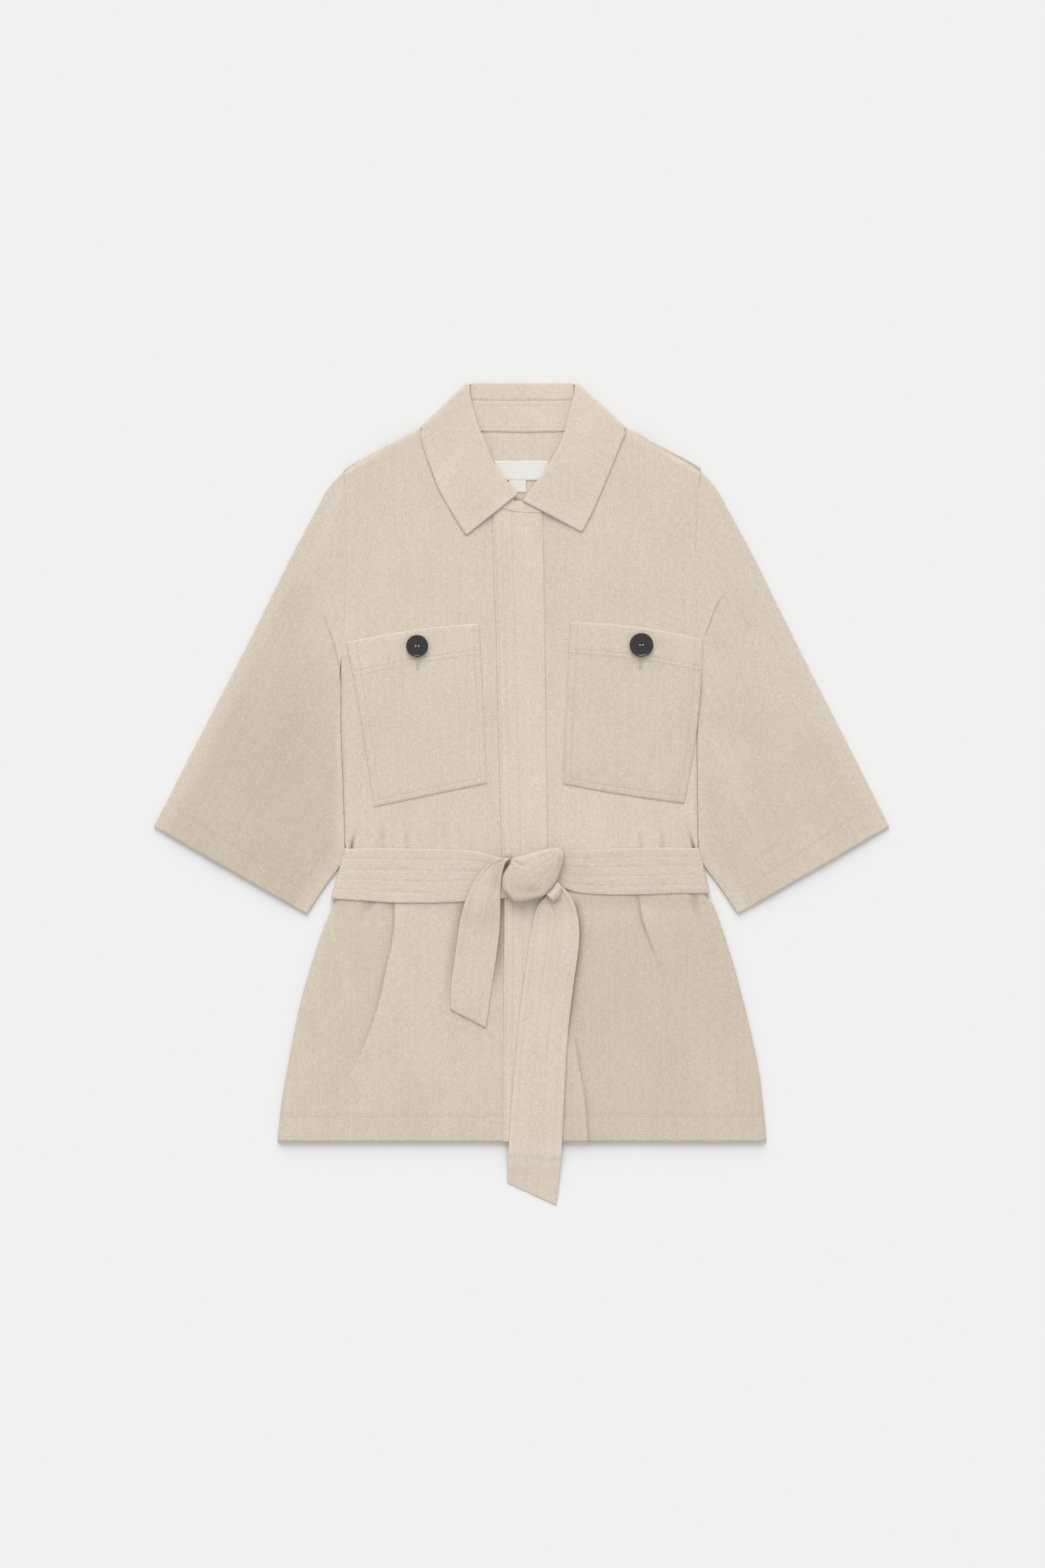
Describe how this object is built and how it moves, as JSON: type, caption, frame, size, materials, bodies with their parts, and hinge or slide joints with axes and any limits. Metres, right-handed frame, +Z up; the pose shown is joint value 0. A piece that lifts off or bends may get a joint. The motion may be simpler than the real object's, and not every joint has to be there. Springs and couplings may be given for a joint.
{
  "type": "safari jacket",
  "caption": "Belted safari jacket in beige linen, laid flat on its back, with a pointed shirt collar, covered placket, two patch pockets and a knotted belt.",
  "frame": {"origin": "middle of the jacket's box on the surface it lies on", "axes": "+X towards the wearer's left, +Y from hem to collar, +Z up from the surface the jacket lies on"},
  "size_m": [0.698, 0.781, 0.0208],
  "materials": {
    "back": "plain linen weave",
    "front_right": "plain linen weave",
    "front_left": "plain linen weave",
    "placket": "plain linen weave",
    "sleeve_right": "plain linen weave",
    "sleeve_left": "plain linen weave",
    "collar_stand": "plain linen weave",
    "collar": "plain linen weave",
    "pocket_right": "plain linen weave",
    "pocket_left": "plain linen weave",
    "button_right": "gloss",
    "button_left": "gloss",
    "belt": "plain linen weave",
    "belt_knot": "plain linen weave",
    "belt_tail_short": "plain linen weave",
    "belt_tail_long": "plain linen weave",
    "neck_label": "smooth woven tape",
    "care_label": "smooth woven tape"
  },
  "bodies": {
    "root": {"back": "back", "front_right": "front_right", "front_left": "front_left", "placket": "placket", "sleeve_right": "sleeve_right", "sleeve_left": "sleeve_left", "collar_stand": "collar_stand", "collar": "collar", "pocket_right": "pocket_right", "pocket_left": "pocket_left", "button_right": "button_right", "button_left": "button_left", "belt": "belt", "belt_knot": "belt_knot", "belt_tail_short": "belt_tail_short", "belt_tail_long": "belt_tail_long", "neck_label": "neck_label", "care_label": "care_label"}
  },
  "joints": []
}
